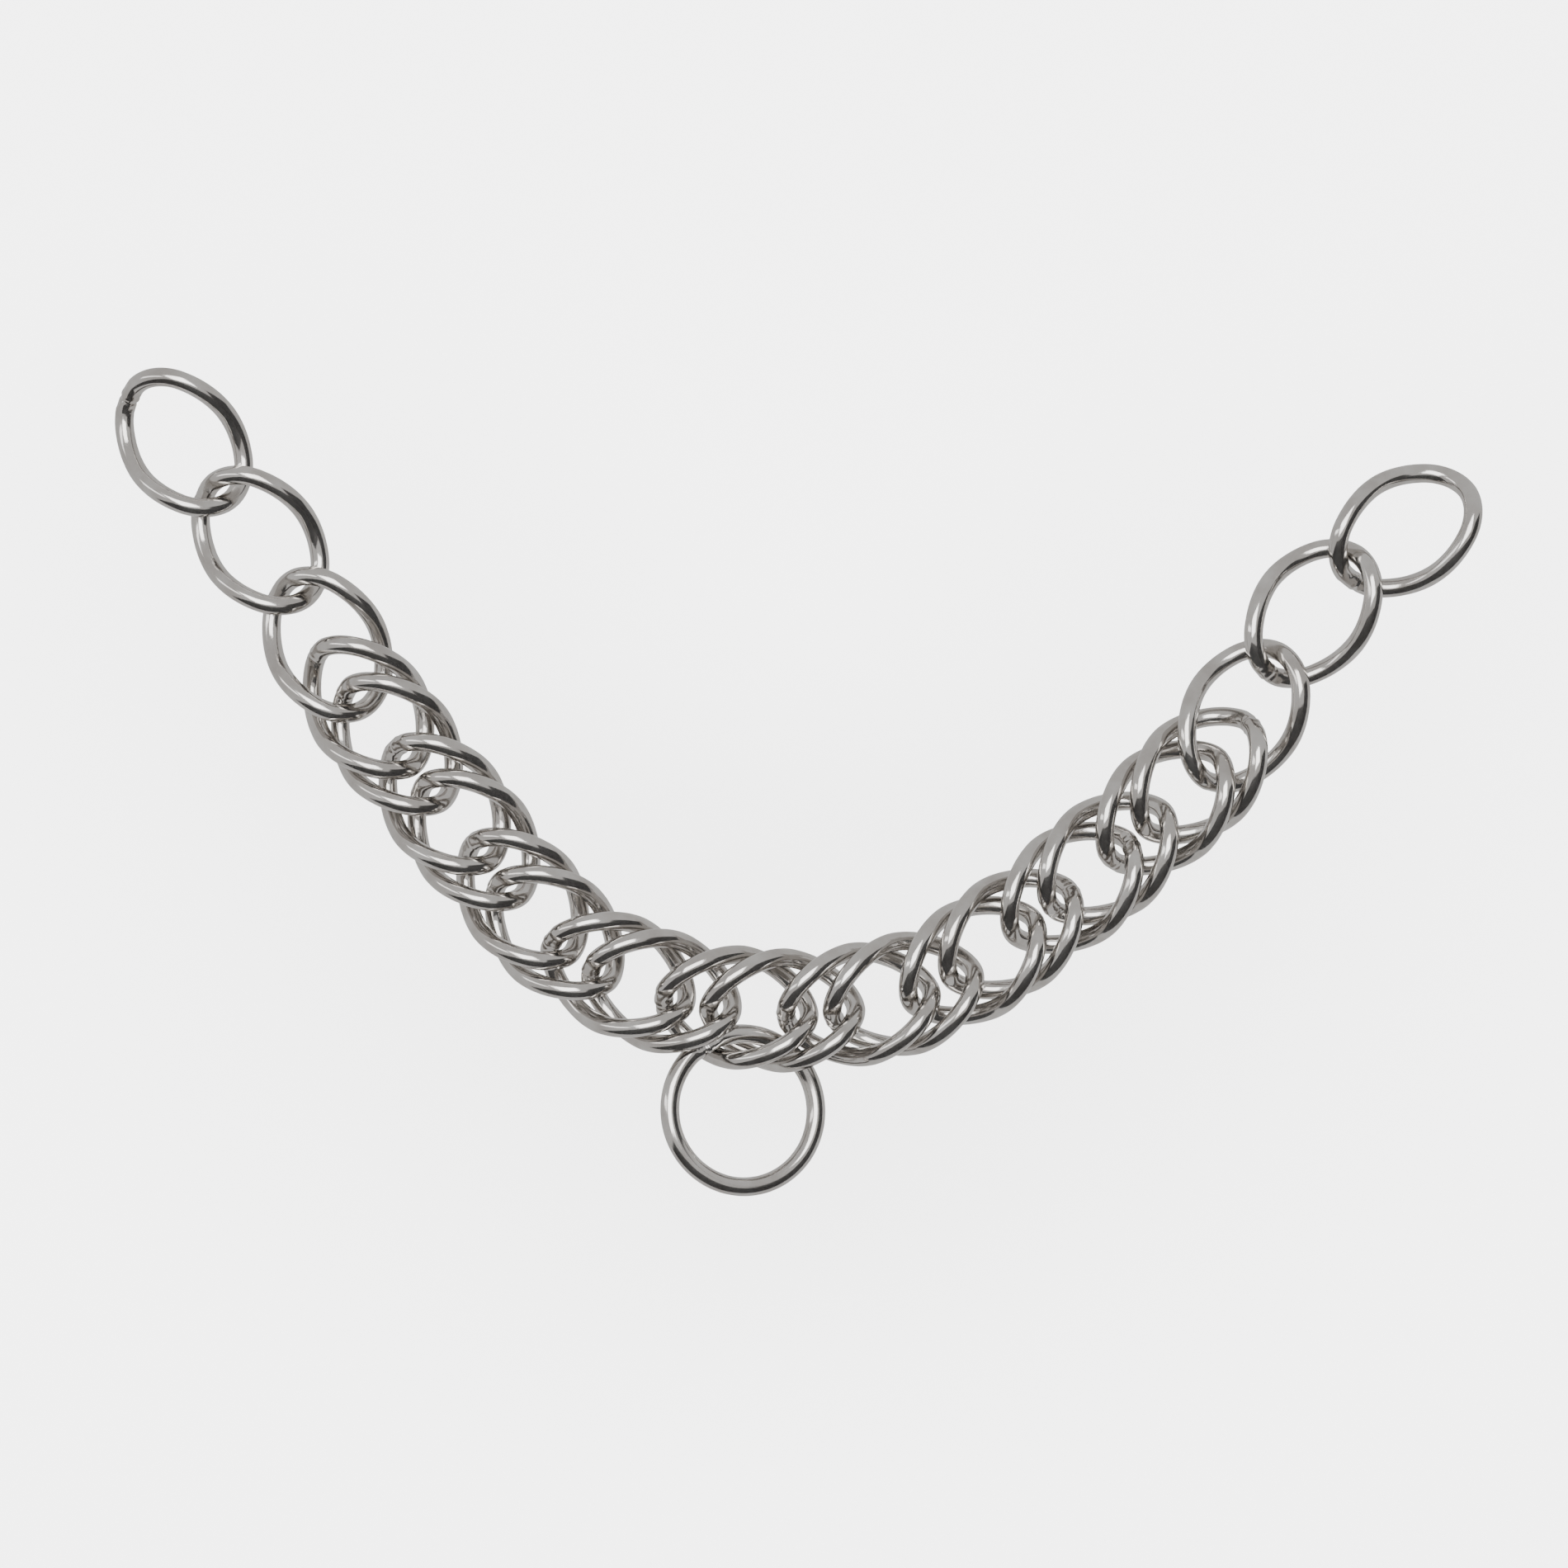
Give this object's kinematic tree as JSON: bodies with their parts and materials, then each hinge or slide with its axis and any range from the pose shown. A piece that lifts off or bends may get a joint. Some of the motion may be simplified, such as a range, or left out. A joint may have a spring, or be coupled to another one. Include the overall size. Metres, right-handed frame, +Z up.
{
  "type": "curb chain",
  "caption": "Double-link curb chain of twisted oval steel links for a riding bit, single links at both ends and a round fly link hanging from the middle.",
  "frame": {"origin": "middle of the bounding box in X and Y, on the surface the chain lies on", "axes": "+X from the chain's left end to its right end across the V, +Y from the fly link towards the two ends, +Z up from the surface the chain lies flat on"},
  "size_m": [0.2074, 0.1254, 0.0107],
  "materials": {
    "polished_steel": "polished stainless steel, finely scratched"
  },
  "bodies": {
    "left_end_link": {"left_end_link": "polished_steel"},
    "left_link_2": {"left_link_2": "polished_steel"},
    "left_link_3": {"left_link_3": "polished_steel"},
    "pair_link_1a": {"pair_link_1a": "polished_steel"},
    "pair_link_1b": {"pair_link_1b": "polished_steel"},
    "pair_link_2a": {"pair_link_2a": "polished_steel"},
    "pair_link_2b": {"pair_link_2b": "polished_steel"},
    "pair_link_3a": {"pair_link_3a": "polished_steel"},
    "pair_link_3b": {"pair_link_3b": "polished_steel"},
    "pair_link_4a": {"pair_link_4a": "polished_steel"},
    "pair_link_4b": {"pair_link_4b": "polished_steel"},
    "pair_link_5a": {"pair_link_5a": "polished_steel"},
    "pair_link_5b": {"pair_link_5b": "polished_steel"},
    "pair_link_6a": {"pair_link_6a": "polished_steel"},
    "pair_link_6b": {"pair_link_6b": "polished_steel"},
    "pair_link_7a": {"pair_link_7a": "polished_steel"},
    "pair_link_7b": {"pair_link_7b": "polished_steel"},
    "pair_link_8a": {"pair_link_8a": "polished_steel"},
    "pair_link_8b": {"pair_link_8b": "polished_steel"},
    "pair_link_9a": {"pair_link_9a": "polished_steel"},
    "pair_link_9b": {"pair_link_9b": "polished_steel"},
    "right_link_3": {"right_link_3": "polished_steel"},
    "right_link_2": {"right_link_2": "polished_steel"},
    "right_end_link": {"right_end_link": "polished_steel"},
    "fly_link": {"fly_link": "polished_steel"}
  },
  "joints": [
    {"name": "pair_link_5a_lean", "type": "hinge", "parent": "pair_link_5b", "child": "pair_link_5a", "pos_m": [-0.00977, -0.04109, 0.0053], "axis": [0.9976, -0.0698, 0], "range_deg": [-6, 0]},
    {"name": "pair_link_4b_curl", "type": "hinge", "parent": "pair_link_5a", "child": "pair_link_4b", "pos_m": [-0.01494, -0.03286, 0.0053], "axis": [0.2164, 0.9763, 0], "range_deg": [-12, 3]},
    {"name": "pair_link_4a_turn", "type": "hinge", "parent": "pair_link_4b", "child": "pair_link_4a", "pos_m": [-0.02388, -0.03035, 0.0053], "axis": [0, 0, 1], "range_deg": [-5, 12]},
    {"name": "pair_link_3b_curl", "type": "hinge", "parent": "pair_link_4a", "child": "pair_link_3b", "pos_m": [-0.03198, -0.02589, 0.0053], "axis": [0.5519, 0.8339, 0], "range_deg": [-6, 4]},
    {"name": "pair_link_3a_turn", "type": "hinge", "parent": "pair_link_3b", "child": "pair_link_3a", "pos_m": [-0.03925, -0.02017, 0.0053], "axis": [0, 0, 1], "range_deg": [-3, 14]},
    {"name": "pair_link_2b_curl", "type": "hinge", "parent": "pair_link_3a", "child": "pair_link_2b", "pos_m": [-0.04539, -0.0132, 0.0053], "axis": [0.7688, 0.6394, 0], "range_deg": [-12, 14]},
    {"name": "pair_link_2a_turn", "type": "hinge", "parent": "pair_link_2b", "child": "pair_link_2a", "pos_m": [-0.05131, -0.00603, 0.0053], "axis": [0, 0, 1], "range_deg": [-10, 10]},
    {"name": "pair_link_1b_curl", "type": "hinge", "parent": "pair_link_2a", "child": "pair_link_1b", "pos_m": [-0.05716, 0.00121, 0.0053], "axis": [0.7799, 0.6259, 0], "range_deg": [-15, 15]},
    {"name": "pair_link_1a_turn", "type": "hinge", "parent": "pair_link_1b", "child": "pair_link_1a", "pos_m": [-0.06295, 0.00848, 0.0053], "axis": [0, 0, 1], "range_deg": [-10, 10]},
    {"name": "left_link_3_curl", "type": "hinge", "parent": "pair_link_1a", "child": "left_link_3", "pos_m": [-0.06822, 0.01601, 0.00474], "axis": [0.8387, 0.5446, 0], "range_deg": [-25, 9]},
    {"name": "left_link_2_turn", "type": "hinge", "parent": "left_link_3", "child": "left_link_2", "pos_m": [-0.07645, 0.02867, 0.00419], "axis": [0, 0, 1], "range_deg": [-25, 14]},
    {"name": "left_end_link_curl", "type": "hinge", "parent": "left_link_2", "child": "left_end_link", "pos_m": [-0.08736, 0.04396, 0.00419], "axis": [0.788, 0.6157, 0], "range_deg": [-30, 30]},
    {"name": "pair_link_6a_turn", "type": "hinge", "parent": "pair_link_5b", "child": "pair_link_6a", "pos_m": [0.00348, -0.03415, 0.0053], "axis": [0, 0, 1], "range_deg": [-4, 10]},
    {"name": "pair_link_6b_curl", "type": "hinge", "parent": "pair_link_6a", "child": "pair_link_6b", "pos_m": [0.01268, -0.0329, 0.0053], "axis": [-0.225, 0.9744, 0], "range_deg": [-7, 7]},
    {"name": "pair_link_7a_turn", "type": "hinge", "parent": "pair_link_6b", "child": "pair_link_7a", "pos_m": [0.02132, -0.02962, 0.0053], "axis": [0, 0, 1], "range_deg": [-14, 4]},
    {"name": "pair_link_7b_curl", "type": "hinge", "parent": "pair_link_7a", "child": "pair_link_7b", "pos_m": [0.02942, -0.02511, 0.0053], "axis": [-0.575, 0.8181, 0], "range_deg": [-7, 7]},
    {"name": "pair_link_8a_turn", "type": "hinge", "parent": "pair_link_7b", "child": "pair_link_8a", "pos_m": [0.0369, -0.01958, 0.0053], "axis": [0, 0, 1], "range_deg": [-14, 12]},
    {"name": "pair_link_8b_curl", "type": "hinge", "parent": "pair_link_8a", "child": "pair_link_8b", "pos_m": [0.04421, -0.01384, 0.0053], "axis": [-0.6361, 0.7716, 0], "range_deg": [-7, 7]},
    {"name": "pair_link_9a_turn", "type": "hinge", "parent": "pair_link_8b", "child": "pair_link_9a", "pos_m": [0.05124, -0.00776, 0.0053], "axis": [0, 0, 1], "range_deg": [-14, 12]},
    {"name": "pair_link_9b_curl", "type": "hinge", "parent": "pair_link_9a", "child": "pair_link_9b", "pos_m": [0.05809, -0.00147, 0.0053], "axis": [-0.6934, 0.7206, 0], "range_deg": [-8, 8]},
    {"name": "right_link_3_turn", "type": "hinge", "parent": "pair_link_9b", "child": "right_link_3", "pos_m": [0.06409, 0.00548, 0.00474], "axis": [0, 0, 1], "range_deg": [-25, 14]},
    {"name": "right_link_2_curl", "type": "hinge", "parent": "right_link_3", "child": "right_link_2", "pos_m": [0.07281, 0.01779, 0.00419], "axis": [-0.829, 0.5592, 0], "range_deg": [-25, 25]},
    {"name": "right_end_link_turn", "type": "hinge", "parent": "right_link_2", "child": "right_end_link", "pos_m": [0.08505, 0.03188, 0.00419], "axis": [0, 0, 1], "range_deg": [-2, 35]},
    {"name": "fly_link_swing", "type": "hinge", "parent": "pair_link_5b", "child": "fly_link", "pos_m": [-0.00602, -0.03755, 0.0033], "axis": [0.9402, 0.1828, -0.2873], "range_deg": [-4, 88]}
  ]
}
